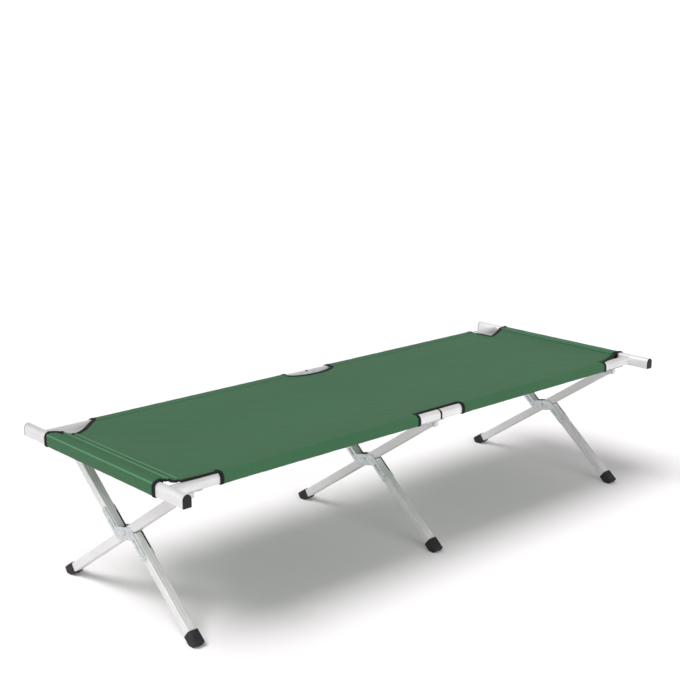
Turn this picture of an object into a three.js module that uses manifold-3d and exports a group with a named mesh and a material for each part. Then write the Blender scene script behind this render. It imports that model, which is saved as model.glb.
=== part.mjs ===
// Folding camp cot: two side rails that hinge in the middle, three X-shaped leg frames, two loose end
// bars and a polyester deck. Millimetres, +Z up, X along the bed, Y across it, floor at z = 0, and the
// middle of the bed over the origin. "near" is the -Y side, "far" is the +Y side.
import * as THREE from "three";
import Module from "manifold-3d";

const wasm = await Module();
wasm.setup();
const { Manifold, CrossSection } = wasm;

// ---- driving dimensions ----
const BED_LENGTH = 1900; // over the cloth on the two end bars
const BED_WIDTH = 742; // over the caps of the end bars
const BED_HEIGHT = 437; // top of the end bars and the deck
const RAIL_SPACING = 576; // between the centre lines of the two side rails
const RAIL_W = 26;
const RAIL_H = 26;
const RAIL_DROP = 3; // from the top of the end bars down to the top of the rails
const BAR_W = 25;
const BAR_H = 34;
const TUBE_WALL = 1.6;
const LEG = 25; // square leg tube, side
const LEG_WALL = 1.5;
const FRAME_INSET = 59.2; // from the outer end of a rail to the end X frame
const PIN_DROP = 20; // from the underside of the rails down to the top pins and swivel shafts
const FORK_GAP = 2.2; // from the round top of a leg to the back of its clevis
const CROSSING_SHARE = 0.5438; // height of the crossing rivet, as a share of the top pins' height
const LEG_PASS = 2; // between the long leg and the split leg, folded side by side
const HINGE_REACH = 24; // from the middle of the bed to each pin of the rail hinge
const HINGE_UP = 17; // from the underside of the rails up to the pins of the rail hinge
const RAIL_END_GAP = 3.5; // from the middle of the bed to each rail end
const NOTCH_MIDDLE = 92; // half the length of the bare rail at the middle
const NOTCH_CORNER = 140; // bare rail at each corner, from the end bar
const FAR_NOTCH_DEPTH = 76; // how far the far corner notches reach into the deck
const FAR_MIDDLE_DEPTH = 38;
const BAR_CLOTH = 504; // length of the cloth sleeve on an end bar

// ---- sheet, pin and clearance sizes ----
const GAP = 0.3; // between pieces that touch
const CLOTH = 1.2;
const PLATE = 2.5; // bracket, clevis and hinge steel
const CROSS_PLATE = 2; // crossing plates
const PIN_R = 4;
const SHAFT_R = 5; // swivel shaft of a clevis
const RIVET_R = 3.5;
const RUNNING = 0.1; // radial clearance of a pin in its hole
const PEG_R = 6;
const PEG_OUT = 8.5; // how far a peg enters its end bar
const FOOT = 31; // rubber foot, side
const FOOT_COVER = 20; // leg length inside a foot
const FOOT_END = 19; // foot length beyond the leg, before the sole is cut flat
const CAP_OUT = 3;

// ---- derived positions ----
const railY = RAIL_SPACING / 2;
const railZ = BED_HEIGHT - RAIL_DROP - RAIL_H;
const pegZ = railZ + RAIL_H / 2;
const barX = BED_LENGTH / 2 - CLOTH - GAP - BAR_W / 2;
const barHalf = BED_WIDTH / 2 - CAP_OUT;
const railEndX = barX - BAR_W / 2 - GAP;
const clothOff = CLOTH + GAP; // from metal to the outside of a sleeve
const earY = railY - RAIL_W / 2 + 0.5; // inner face of the bracket ears
const clevisBack = LEG / 2 + FORK_GAP; // from a top pin to the back plate of its clevis
const pinY = earY - GAP - PLATE - clevisBack;
const pinZ = railZ - PIN_DROP;
const frameX = railEndX - FRAME_INSET;
const crossingZ = CROSSING_SHARE * pinZ;
const pinReach = Math.hypot(pinY, pinZ - crossingZ);
const longAngle = Math.atan2(pinZ - crossingZ, pinY);
const splitOffset = LEG + LEG_PASS; // of each half of the split leg from the crossing
const splitReach = Math.sqrt(pinReach ** 2 - splitOffset ** 2);
const splitAngle = longAngle + Math.atan2(splitOffset, splitReach);
// Each half of the split leg starts where it clears the long leg that passes between them.
const crossAngle = longAngle + splitAngle;
const splitStart =
  (LEG / 2 + (splitOffset + LEG / 2) * Math.abs(Math.cos(crossAngle))) / Math.sin(crossAngle) + LEG_PASS;
const legEndZ = 13.5; // centre of a leg's lower end
const longBelow = (crossingZ - legEndZ) / Math.sin(longAngle);
const splitBelow =
  (crossingZ + splitOffset * Math.cos(splitAngle) - legEndZ) / Math.sin(splitAngle);

// ---- materials ----
const metal = (name, color, roughness) =>
  new THREE.MeshStandardMaterial({ name, color, roughness, metalness: 0.9 });
const ALUMINIUM = metal("aluminium", 0xd3d5d8, 0.38);
const STEEL = metal("galvanised_steel", 0xa9b0b5, 0.42);
const RUBBER = new THREE.MeshStandardMaterial({ name: "black_rubber", color: 0x1a1b1d, roughness: 0.7 });
const POLYESTER = new THREE.MeshStandardMaterial({
  name: "green_polyester", color: 0x3f6b4c, roughness: 0.85,
});

// ---- outlines, as lists of [across, up] ----
const arc = (cx, cy, r, from, to, steps) =>
  Array.from({ length: steps + 1 }, (_, i) => {
    const t = from + ((to - from) * i) / steps;
    return [cx + r * Math.cos(t), cy + r * Math.sin(t)];
  });
const arch = (w, h, grow = 0) => {
  const r = w / 2 + grow;
  return [[-r, -grow], [r, -grow], ...arc(0, h - w / 2, r, 0, Math.PI, 16)];
};
const rect = (x0, y0, x1, y1) => [[x0, y0], [x1, y0], [x1, y1], [x0, y1]];
const stadium = (ax, ay, bx, by, r) => {
  const t = Math.atan2(by - ay, bx - ax);
  return [
    ...arc(bx, by, r, t - Math.PI / 2, t + Math.PI / 2, 8),
    ...arc(ax, ay, r, t + Math.PI / 2, t + (3 * Math.PI) / 2, 8),
  ];
};

// ---- solids ----
const section = (...outlines) => new CrossSection(outlines, "EvenOdd");
// Extruded about the middle: along X with the outline in Y and Z, or along Y with it in X and Z.
const alongX = (shape, length) => shape.extrude(length, 0, 0, [1, 1], true).rotate([90, 0, 90]);
const alongY = (shape, length) => shape.extrude(length, 0, 0, [1, 1], true).rotate([90, 0, 0]);
const rodX = (r, x0, x1) =>
  Manifold.cylinder(x1 - x0, r, r, 24).rotate([0, 90, 0]).translate([x0, 0, 0]);
const rodY = (r, y0, y1) =>
  Manifold.cylinder(y1 - y0, r, r, 24).rotate([-90, 0, 0]).translate([0, y0, 0]);
const block = (x0, y0, z0, x1, y1, z1) =>
  Manifold.cube([x1 - x0, y1 - y0, z1 - z0]).translate([x0, y0, z0]);

const cot = new THREE.Group();
cot.name = "folding_cot";

function add(group, name, solid, material) {
  const m = solid.getMesh();
  const points = new Float32Array((m.vertProperties.length / m.numProp) * 3);
  for (let i = 0; i < points.length / 3; i++)
    for (let k = 0; k < 3; k++) points[3 * i + k] = m.vertProperties[m.numProp * i + k];
  const indexed = new THREE.BufferGeometry();
  indexed.setAttribute("position", new THREE.BufferAttribute(points, 3));
  indexed.setIndex(new THREE.BufferAttribute(new Uint32Array(m.triVerts), 1));
  const geometry = indexed.toNonIndexed();
  geometry.computeVertexNormals();
  const mesh = new THREE.Mesh(geometry, material);
  mesh.name = name;
  group.add(mesh);
  return mesh;
}

// ---- side rails: hollow, with a peg at the outer end and a two-pin hinge at the inner end ----
const railLength = railEndX - RAIL_END_GAP;
const railMid = (railEndX + RAIL_END_GAP) / 2;

// end is -1 for the left half and 1 for the right, side is -1 for near and 1 for far.
function rail(end, side) {
  const tube = alongX(section(arch(RAIL_W, RAIL_H), arch(RAIL_W, RAIL_H, -TUBE_WALL)), railLength);
  const deep = TUBE_WALL + RAIL_W / 4; // past the inner wall, which curves in above the pin
  const hinge = rodY(RIVET_R + RUNNING, -deep, deep).translate([
    end * (HINGE_REACH - railMid),
    -side * (RAIL_W / 2),
    HINGE_UP,
  ]);
  return tube.subtract(hinge);
}
function peg(end) {
  const plug = alongX(section(arch(RAIL_W, RAIL_H, -TUBE_WALL - GAP)), 30).translate([-end * 15, 0, 0]);
  const pin = alongX(CrossSection.circle(PEG_R, 24), PEG_OUT + GAP + 1).translate([
    (end * (PEG_OUT + GAP - 1)) / 2,
    0,
    RAIL_H / 2,
  ]);
  return plug.add(pin);
}
// The hinge link lies on the inner faces of both rails; its two pins pass through their inner walls.
function hingeLink(side) {
  const plate = alongY(section(stadium(-HINGE_REACH, 0, HINGE_REACH, 0, 9)), PLATE);
  const out = TUBE_WALL + GAP + 3;
  const pins = [-1, 1].map((s) =>
    rodY(RIVET_R, -out / 2, out / 2).translate([s * HINGE_REACH, side * (PLATE / 2 + out / 2 - 0.5), 0]),
  );
  const heads = [-1, 1].map((s) =>
    rodY(RIVET_R + 1.5, -0.9, 0.9).translate([s * HINGE_REACH, -side * (PLATE / 2 + 0.4), 0]),
  );
  return Manifold.union([plate, ...pins, ...heads]);
}
// Bracket under a rail: base plate, and an ear at its inner edge with a hole for the swivel shaft.
// side is -1 under the near rail and 1 under the far one.
function bracket(back, front, side) {
  const base = block(-back, -RAIL_W / 2 + 0.5, railZ - GAP - PLATE, front, RAIL_W / 2 - 0.5, railZ - GAP);
  const ear = alongY(
    section(stadium(0, 0, 0, 0.01, 9)).add(section(rect(-9, 0, 9, railZ - GAP - 1 - pinZ))),
    PLATE,
  ).subtract(rodY(SHAFT_R + RUNNING, -PLATE, PLATE));
  return base.add(ear.translate([0, side * (earY + PLATE / 2 - railY), pinZ]));
}
// Clevis: swivel shaft along Y through the ear, and a fork that holds the top of a leg on an X pin.
function clevis(side) {
  const head = earY + PLATE + GAP - pinY; // from the leg pin to the head of the shaft
  const half = LEG / 2 + GAP;
  const cheek = alongX(section(stadium(0, 0, -clevisBack - PLATE + 8, 0, 8)), PLATE);
  const parts = [
    rodY(SHAFT_R, -head, -clevisBack - 0.5),
    rodY(SHAFT_R + 3, -head - PLATE, -head),
    block(-half - PLATE, -clevisBack - PLATE, -8, half + PLATE, -clevisBack, 8),
    cheek.translate([-half - PLATE / 2, 0, 0]),
    cheek.translate([half + PLATE / 2, 0, 0]),
    rodX(PIN_R, -half - 1, half + 1),
  ];
  const solid = Manifold.union(parts);
  return side < 0 ? solid : solid.rotate([0, 0, 180]);
}

// ---- X frames. Leg solids run along +Y from their own origin, and the mesh is turned into place ----
const legTube = (from, to) =>
  alongY(section(rect(-LEG / 2, -LEG / 2, LEG / 2, LEG / 2),
    rect(-LEG / 2 + LEG_WALL, -LEG / 2 + LEG_WALL, LEG / 2 - LEG_WALL, LEG / 2 - LEG_WALL)), to - from)
    .translate([0, (from + to) / 2, 0]);
const pinHole = (y) => rodX(PIN_R + RUNNING, -LEG, LEG).translate([0, y, 0]);
// Rounds a leg's top about its pin at the origin, so that it can turn in the fork.
const roundTop = alongX(
  section(stadium(0, 0, 2 * BED_HEIGHT, 0, LEG / 2)),
  LEG + 2,
);

function foot() {
  const outer = alongY(section(rect(-FOOT / 2, -FOOT / 2, FOOT / 2, FOOT / 2)), FOOT_COVER + FOOT_END)
    .translate([0, (FOOT_END - FOOT_COVER) / 2, 0]);
  const socket = alongY(
    section(rect(-LEG / 2 - GAP, -LEG / 2 - GAP, LEG / 2 + GAP, LEG / 2 + GAP)),
    FOOT_COVER + 1,
  ).translate([0, (GAP - FOOT_COVER - 1 + GAP) / 2, 0]);
  return outer.subtract(socket);
}
// Trims a foot, still in its leg's own frame, to the floor once the leg stands at its angle.
function trimmedFoot(angle) {
  const floor = block(-60, -90, -200, 60, 90, -legEndZ).rotate([(angle * 180) / Math.PI, 0, 0]);
  return foot().subtract(floor);
}

// Plate across the crossing: an arm on each half of the split leg and a band between them.
function crossPlate(front) {
  const arm = (s) => section(stadium(s * 14, s * splitOffset, s * 92, s * splitOffset, 11.5));
  const slot = (s) => section(stadium(s * 40, s * splitOffset, s * 64, s * splitOffset, 2.5));
  const band = section(stadium(16, 20, -16, -20, 17));
  const hole = CrossSection.circle(PIN_R + RUNNING, 24);
  let shape = arm(1).add(arm(-1)).add(band).subtract(slot(1)).subtract(slot(-1));
  if (!front) shape = shape.subtract(hole);
  const out = front ? -1 : 1;
  const rivets = [-1, 1].map((s) =>
    rodX(4.5, -0.8, 0.8).translate([(out * CROSS_PLATE) / 2 + out * 0.5, s * 88, s * splitOffset]),
  );
  let solid = Manifold.union([alongX(shape, CROSS_PLATE), ...rivets]);
  if (front) {
    const span = LEG + 2 * GAP + 2 * CROSS_PLATE;
    solid = solid.add(rodX(PIN_R, -0.5, span + 1.5)).add(rodX(7, -CROSS_PLATE / 2 - 1.4, 0));
  }
  return solid;
}

function xFrame(name, x) {
  const group = new THREE.Group();
  group.name = `x_frame_${name}`;
  group.position.x = x;
  cot.add(group);

  for (const [side, word] of [[-1, "near"], [1, "far"]]) {
    const c = add(group, `${word}_clevis_${name}`, clevis(side), STEEL);
    c.position.set(0, side * pinY, pinZ);
  }

  // The long leg runs from the near top pin, through the crossing, to the far foot.
  const long = new THREE.Group();
  long.position.set(0, -pinY, pinZ);
  long.rotation.x = -longAngle;
  group.add(long);
  const longLength = pinReach + longBelow;
  add(long, `long_leg_${name}`,
    legTube(-LEG / 2, longLength).intersect(roundTop)
      .subtract(pinHole(0)).subtract(pinHole(pinReach)), ALUMINIUM);
  add(long, `long_foot_${name}`, trimmedFoot(longAngle), RUBBER).position.y = longLength;

  // The split leg's frame has +Y from the near foot up to the far top pin, and its origin at the crossing.
  const split = new THREE.Group();
  split.position.set(0, 0, crossingZ);
  split.rotation.x = splitAngle;
  group.add(split);
  const upper = add(split, `split_upper_${name}`,
    legTube(-LEG / 2, splitReach - splitStart).intersect(roundTop).subtract(pinHole(0)), ALUMINIUM);
  upper.rotation.x = Math.PI;
  upper.position.set(0, splitReach, -splitOffset);
  const lower = add(split, `split_lower_${name}`, legTube(splitStart, splitBelow), ALUMINIUM);
  lower.rotation.x = Math.PI;
  lower.position.z = splitOffset;
  const low = add(split, `split_foot_${name}`, trimmedFoot(splitAngle).rotate([0, 0, 180]), RUBBER);
  low.position.set(0, -splitBelow, splitOffset);
  const plateX = LEG / 2 + GAP + CROSS_PLATE / 2;
  const front = add(split, `front_plate_${name}`, crossPlate(true).mirror([0, 0, 1]), STEEL);
  front.position.x = -plateX;
  const back = add(split, `back_plate_${name}`, crossPlate(false).mirror([0, 0, 1]), STEEL);
  back.position.x = plateX;
}

for (const [name, x] of [["left", -frameX], ["mid", 0], ["right", frameX]]) xFrame(name, x);

// ---- rails with their pegs, sleeves, brackets and hinge links ----
const deckHalf = railY - RAIL_W / 2 - clothOff - GAP;
const deckEnd = barX - BAR_W / 2 - clothOff - GAP;
const sleeveFrom = NOTCH_MIDDLE;
const sleeveTo = railEndX - NOTCH_CORNER;

for (const [side, word] of [[-1, "near"], [1, "far"]]) {
  const row = new THREE.Group();
  row.name = `${word}_side`;
  row.position.set(0, side * railY, 0);
  cot.add(row);
  for (const [end, hand] of [[-1, "left"], [1, "right"]]) {
    add(row, `${word}_rail_${hand}`, rail(end, side), ALUMINIUM).position.set(end * railMid, 0, railZ);
    add(row, `${word}_peg_${hand}`, peg(end), STEEL).position.set(end * railEndX, 0, railZ);
    const sleeve = alongX(
      section(arch(RAIL_W, RAIL_H, clothOff), arch(RAIL_W, RAIL_H, GAP)),
      sleeveTo - sleeveFrom,
    );
    add(row, `${word}_sleeve_${hand}`, sleeve, POLYESTER).position.set(
      (end * (sleeveTo + sleeveFrom)) / 2, 0, railZ);
    add(row, `${word}_bracket_${hand}`, bracket(24, 24, side), STEEL).position.x = end * frameX;
  }
  add(row, `${word}_bracket_mid`, bracket(62, 13, side), STEEL);
  add(row, `${word}_hinge_link`, hingeLink(side), STEEL).position.set(
    0, -side * (RAIL_W / 2 + GAP + PLATE / 2), railZ + HINGE_UP);
}

// ---- end bars with caps and cloth ----
for (const [end, hand] of [[-1, "left"], [1, "right"]]) {
  const head = new THREE.Group();
  head.name = `${hand}_end`;
  head.position.set(end * barX, 0, BED_HEIGHT - BAR_H);
  cot.add(head);
  const pegHole = pegZ - BED_HEIGHT + BAR_H;
  const hole = rodX(PEG_R + 0.4, -3, 3).translate([-end * (BAR_W / 2), 0, pegHole]);
  const tube = alongY(section(arch(BAR_W, BAR_H), arch(BAR_W, BAR_H, -TUBE_WALL)), 2 * barHalf)
    .subtract(hole.translate([0, railY, 0])).subtract(hole.translate([0, -railY, 0]));
  add(head, `${hand}_end_bar`, tube, ALUMINIUM);
  for (const [side, word] of [[-1, "near"], [1, "far"]]) {
    const face = alongY(section(arch(BAR_W, BAR_H)), CAP_OUT - GAP).translate([0, (CAP_OUT + GAP) / 2, 0]);
    const plug = alongY(section(arch(BAR_W, BAR_H, -TUBE_WALL - GAP)), 12 + GAP).translate([0, -5.5, 0]);
    const cap = face.add(plug);
    add(head, `${word}_cap_${hand}`, side > 0 ? cap : cap.rotate([0, 0, 180]), RUBBER).position.y =
      side * barHalf;
  }
  const cloth = alongY(section(arch(BAR_W, BAR_H, clothOff), arch(BAR_W, BAR_H, GAP)), BAR_CLOTH);
  add(head, `${hand}_end_sleeve`, cloth, POLYESTER);
}

// ---- deck halves, which lie over the tops of the sleeves. Outlines are for the right half, and the
// left one is mirrored. The far edge is cut back at the middle and at both corners, deepest beside the
// bar at the left end and beside the sleeve at the right.
const deepest = deckHalf - FAR_NOTCH_DEPTH;
const farCorner = {
  left: [
    [deckEnd, deckHalf - 24], [deckEnd - 8, deepest + 14], [deckEnd - 20, deepest],
    [deckEnd - 46, deepest + 12], [deckEnd - 86, deepest + 44], [sleeveTo, deckHalf],
  ],
  right: [
    [deckEnd, BAR_CLOTH / 2], [deckEnd - 12, deckHalf - 30], [deckEnd - 72, deepest + 22],
    [deckEnd - 124, deepest], [sleeveTo - 10, deepest + 8], [sleeveTo - 14, deepest + 26],
    [sleeveTo - 12, deckHalf - 14], [sleeveTo, deckHalf],
  ],
};
const farMiddle = arc(0, deckHalf, NOTCH_MIDDLE, 0, -Math.PI / 2, 12).map(([x, y]) => [
  x, deckHalf + ((y - deckHalf) * FAR_MIDDLE_DEPTH) / NOTCH_MIDDLE,
]);
for (const [end, hand] of [[-1, "left"], [1, "right"]]) {
  const outline = [
    [GAP / 2, -deckHalf], [sleeveFrom, -deckHalf], [sleeveFrom, -railY], [sleeveTo, -railY],
    [sleeveTo, -deckHalf], [deckEnd - 16, -deckHalf], [deckEnd, -BAR_CLOTH / 2],
    ...farCorner[hand], [sleeveTo, railY], [sleeveFrom, railY],
    ...farMiddle.slice(0, -1), [GAP / 2, deckHalf - FAR_MIDDLE_DEPTH],
  ];
  const half = section(outline).extrude(CLOTH);
  add(cot, `deck_${hand}`, end > 0 ? half : half.mirror([1, 0, 0]), POLYESTER).position.z =
    BED_HEIGHT - CLOTH;
}

export default cot;
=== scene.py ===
"""Folding camp cot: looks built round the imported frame. Metres, +Z up, X along the bed, Y across it.
Every piece is a surface P(u, v) worked out on a grid, or a section carried along a path."""

import math

import bmesh
import bpy
import numpy as np
from mathutils import Matrix


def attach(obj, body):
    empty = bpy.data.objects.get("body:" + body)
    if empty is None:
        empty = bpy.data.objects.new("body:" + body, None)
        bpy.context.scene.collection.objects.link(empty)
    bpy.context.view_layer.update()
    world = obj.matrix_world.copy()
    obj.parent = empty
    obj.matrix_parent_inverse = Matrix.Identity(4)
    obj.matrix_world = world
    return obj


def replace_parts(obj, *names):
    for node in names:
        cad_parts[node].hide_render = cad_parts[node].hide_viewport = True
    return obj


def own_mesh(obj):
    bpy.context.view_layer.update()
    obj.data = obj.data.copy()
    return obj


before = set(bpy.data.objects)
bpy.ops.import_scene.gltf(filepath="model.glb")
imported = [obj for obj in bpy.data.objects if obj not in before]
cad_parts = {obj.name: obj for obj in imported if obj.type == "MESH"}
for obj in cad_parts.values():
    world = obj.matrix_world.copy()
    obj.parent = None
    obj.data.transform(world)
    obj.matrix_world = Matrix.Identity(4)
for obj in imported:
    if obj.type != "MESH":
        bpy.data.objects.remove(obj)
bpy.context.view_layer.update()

# ---- sizes, in metres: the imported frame's own, then those of the cloth ----
BED_TOP = 0.437
RAIL_Y = 0.288
RAIL_W, RAIL_H = 0.026, 0.026
RAIL_Z = 0.408
RAIL_TOP = RAIL_Z + RAIL_H
BAR_W, BAR_H = 0.025, 0.034
BAR_X = 0.936
BAR_HALF = 0.368
WALL = 0.0016
RAIL_OUT, RAIL_IN = 0.9232, 0.0035
FRAME_X = 0.864
PIN_Y, PIN_Z = 0.258, 0.388
CROSS_Z = 0.5438 * PIN_Z
LEG, LEG_WALL = 0.025, 0.0015
SPLIT_OFF = 0.027
FOOT, FOOT_COVER, FOOT_END, LEG_END_Z = 0.031, 0.020, 0.019, 0.0135
REACH = math.hypot(PIN_Y, PIN_Z - CROSS_Z)
LONG_ANGLE = math.atan2(PIN_Z - CROSS_Z, PIN_Y)
SPLIT_REACH = math.sqrt(REACH**2 - SPLIT_OFF**2)
SPLIT_ANGLE = LONG_ANGLE + math.atan2(SPLIT_OFF, SPLIT_REACH)
CROSS_ANGLE = LONG_ANGLE + SPLIT_ANGLE
SPLIT_CLEAR = LEG / 2 + (SPLIT_OFF + LEG / 2) * abs(math.cos(CROSS_ANGLE))
SPLIT_START = SPLIT_CLEAR / math.sin(CROSS_ANGLE) + 0.002
LONG_BELOW = (CROSS_Z - LEG_END_Z) / math.sin(LONG_ANGLE)
SPLIT_BELOW = (CROSS_Z + SPLIT_OFF * math.cos(SPLIT_ANGLE) - LEG_END_Z) / math.sin(SPLIT_ANGLE)
NOTCH_MID, NOTCH_END = 0.092, 0.7832
SEAM_Y, SHOULDER_Y = 0.262, 0.279
CLOTH = 0.0008
SLEEVE_GROW = 0.0012
BAR_SLEEVE_HALF = 0.252
HEM_X = BAR_X - BAR_W / 2 - 0.0015
HEM_ROWS = (0.9140, 0.8980)
# rivets of a crossing plate, measured along it from the middle
RIVET_FAR, RIVET_NEAR = 0.088, 0.026
FRAMES = {"left": -FRAME_X, "mid": 0.0, "right": FRAME_X}


# ---- mesh helpers ----
def put(name, points, faces, uvs, material, body, slot, smooth=True):
    """A mesh object from whole arrays: points (n, 3), quads (m, 4) and one uv per face corner."""
    mesh = bpy.data.meshes.new(name)
    mesh.vertices.add(len(points))
    mesh.vertices.foreach_set("co", np.asarray(points, np.float32).ravel())
    mesh.loops.add(faces.size)
    mesh.loops.foreach_set("vertex_index", faces.astype(np.int32).ravel())
    mesh.polygons.add(len(faces))
    mesh.polygons.foreach_set("loop_start", np.arange(0, faces.size, faces.shape[1], dtype=np.int32))
    mesh.polygons.foreach_set("use_smooth", np.full(len(faces), smooth))
    layer = mesh.uv_layers.new(name="surface")
    layer.data.foreach_set("uv", np.asarray(uvs, np.float32).ravel())
    mesh.update(calc_edges=True)
    mesh.validate()
    obj = bpy.data.objects.new(name, mesh)
    bpy.context.scene.collection.objects.link(obj)
    mesh.materials.append(material)
    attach(obj, body)
    return obj


def lattice(grid, wrap_u=False, wrap_v=False, uv=None):
    """Points, quads and corner uvs of P(u, v) on a grid. A wrapped direction joins its last row to its
    first. The uv is the distance run along each direction, in metres, unless it is given."""
    nu, nv = grid.shape[:2]
    step = lambda axis: np.linalg.norm(np.diff(grid, axis=axis), axis=2)
    if uv is None:
        along = np.concatenate([[0], np.cumsum(step(0).mean(1))])
        around = np.concatenate([[0], np.cumsum(step(1).mean(0))])
        uv = np.stack(np.meshgrid(along, around, indexing="ij"), -1)
    mu, mv = nu - (not wrap_u), nv - (not wrap_v)
    i, j = np.meshgrid(np.arange(mu), np.arange(mv), indexing="ij")
    corners = [(i, j), (i + 1, j), (i + 1, j + 1), (i, j + 1)]
    faces = np.stack([(a % nu) * nv + b % nv for a, b in corners], -1).reshape(-1, 4)
    far = np.array(uv[-1, -1]) + 1e-3
    pick = []
    for a, b in corners:
        w = uv[a % nu, b % nv].copy()
        w[..., 0] = np.where(a >= nu, far[0], w[..., 0])
        w[..., 1] = np.where(b >= nv, far[1], w[..., 1])
        pick.append(w)
    return grid.reshape(-1, 3), faces, np.stack(pick, -2).reshape(-1, 2)


def surface(name, grid, material, body, slot, wrap_u=False, wrap_v=False, uv=None):
    """The piece P(u, v) on a grid of points."""
    return put(name, *lattice(grid, wrap_u, wrap_v, uv), material, body, slot)


def cloth(name, grid, material, body, uv):
    """A closed cloth: the grid is its outer face, the inner face lies one thickness behind it along the
    grid's normals du x dv, and a rim joins the two round the border."""
    du, dv = np.gradient(grid, axis=0), np.gradient(grid, axis=1)
    normal = np.cross(du, dv)
    normal /= np.linalg.norm(normal, axis=2)[..., None] + 1e-15
    nu, nv = grid.shape[:2]
    points, faces, corners = lattice(grid, uv=uv)
    n = nu * nv
    border = np.concatenate([np.arange(nu) * nv, (nu - 1) * nv + np.arange(1, nv),
                             np.arange(nu - 2, -1, -1) * nv + nv - 1, np.arange(nv - 2, 0, -1)])
    ahead = np.roll(border, -1)
    rim = np.stack([ahead, border, border + n, ahead + n], -1)
    flat = uv.reshape(-1, 2)
    under = (points.reshape(nu, nv, 3) - CLOTH * normal).reshape(-1, 3)
    every = np.concatenate([faces, faces[:, ::-1] + n, rim])
    around = np.concatenate([corners, flat[faces[:, ::-1]].reshape(-1, 2), flat[rim % n].reshape(-1, 2)])
    o = put(name, np.concatenate([points, under]), every, around, material, body, "polyester")
    return sharpened(o, 50)


def squash_across(obj):
    """Gives a piece of cloth its own copy of its mesh."""
    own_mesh(obj)


def sharpened(obj, degrees=35):
    """Marks edges that turn more than that, so that flats stay flat and rounds stay round."""
    obj.data.set_sharp_from_angle(angle=math.radians(degrees))
    return obj


def smoothstep(t):
    """3 t^2 - 2 t^3, held at 0 and 1."""
    t = np.clip(t, 0, 1)
    return t * t * (3 - 2 * t)


def rounded(points, radius, steps=4):
    """A closed outline with each corner c replaced by the arc of that radius that touches both sides."""
    points = np.asarray(points, float)
    out = []
    for k in range(len(points)):
        a, c, b = points[k - 1], points[k], points[(k + 1) % len(points)]
        p, q = (a - c) / np.linalg.norm(a - c), (b - c) / np.linalg.norm(b - c)
        half = math.acos(np.clip(p @ q, -1, 1)) / 2
        cut = radius / math.tan(half)
        centre = c + (p + q) / np.linalg.norm(p + q) * radius / math.sin(half)
        s, e = c + p * cut - centre, c + q * cut - centre
        turn = math.acos(np.clip(s @ e / radius**2, -1, 1))
        t = np.linspace(0, 1, steps + 1)[:, None]
        out.append(centre + (np.sin((1 - t) * turn) * s + np.sin(t * turn) * e) / math.sin(turn))
    return np.concatenate(out)


def arch_outline(w, h, grow=0.0, corner=0.0022, steps=22):
    """Flat floor, straight sides and a half-round top of radius w/2: listed anticlockwise from the
    lower left."""
    r = w / 2 + grow
    c = max(corner + grow, 0.0004)
    t = np.linspace(0, math.pi, steps + 1)
    crown = np.stack([r * np.cos(t), h - w / 2 + r * np.sin(t)], -1)
    q = np.linspace(0, math.pi / 2, 5)
    right = np.stack([r - c + c * np.sin(q), -grow + c - c * np.cos(q)], -1)
    left = np.stack([-r + c - c * np.cos(q), -grow + c - c * np.sin(q)], -1)
    return np.concatenate([left, right, crown])


def hollow_sweep(outer, inner, start, end, place, rim=0.0004):
    """A tube with open ends: the outer outline from start to end, over a small rim, and the inner one
    back. start and end are the length coordinate at each outline point; place(a, b, s) puts section
    point (a, b) at s."""
    s0, s1 = np.broadcast_to(start, len(outer)), np.broadcast_to(end, len(outer))
    so, si = outer, inner
    soft = so + (si - so) * 0.25
    rows = [(so, s0 + rim), (so, s1 - rim), (soft, s1), (si, s1),
            (si, s1 - 0.02), (si, s0 + 0.02), (si, s0), (soft, s0)]
    return np.stack([place(sec[:, 0], sec[:, 1], s) for sec, s in rows], 0)


# ---- materials ----
def nodes_of(name):
    """A new material with one principled shader, its node tree and that shader."""
    mat = bpy.data.materials.new(name)
    mat.use_nodes = True
    tree = mat.node_tree
    tree.nodes.clear()
    out = tree.nodes.new("ShaderNodeOutputMaterial")
    shader = tree.nodes.new("ShaderNodeBsdfPrincipled")
    tree.links.new(shader.outputs[0], out.inputs[0])
    return mat, tree, shader


def chain(tree, kind, inputs=(), **settings):
    """Adds a node, sets its fields, and links or sets its inputs by name or number."""
    node = tree.nodes.new("ShaderNode" + kind)
    for key, value in settings.items():
        setattr(node, key, value)
    for key, value in dict(inputs).items():
        socket = node.inputs[key]
        if isinstance(value, bpy.types.NodeSocket):
            tree.links.new(value, socket)
        else:
            socket.default_value = value
    return node


def spread(tree, value, low, high, a, b):
    """Maps value from low..high to a..b, held at both ends."""
    return chain(tree, "MapRange", {0: value, 1: low, 2: high, 3: a, 4: b}, clamp=True).outputs[0]


def tint(tree, factor, a, b):
    """A colour between a and b by the factor."""
    mix = chain(tree, "Mix", {0: factor, 6: (*a, 1), 7: (*b, 1)}, data_type="RGBA")
    return mix.outputs[2]


def coordinates(tree, source, scale):
    co = chain(tree, "TexCoord").outputs[source]
    return chain(tree, "Mapping", {0: co, 3: scale}).outputs[0]


def noise(tree, vector, scale, detail=3.0, rough=0.5):
    return chain(tree, "TexNoise", {"Vector": vector, "Scale": scale, "Detail": detail,
                                    "Roughness": rough}).outputs[0]


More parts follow.
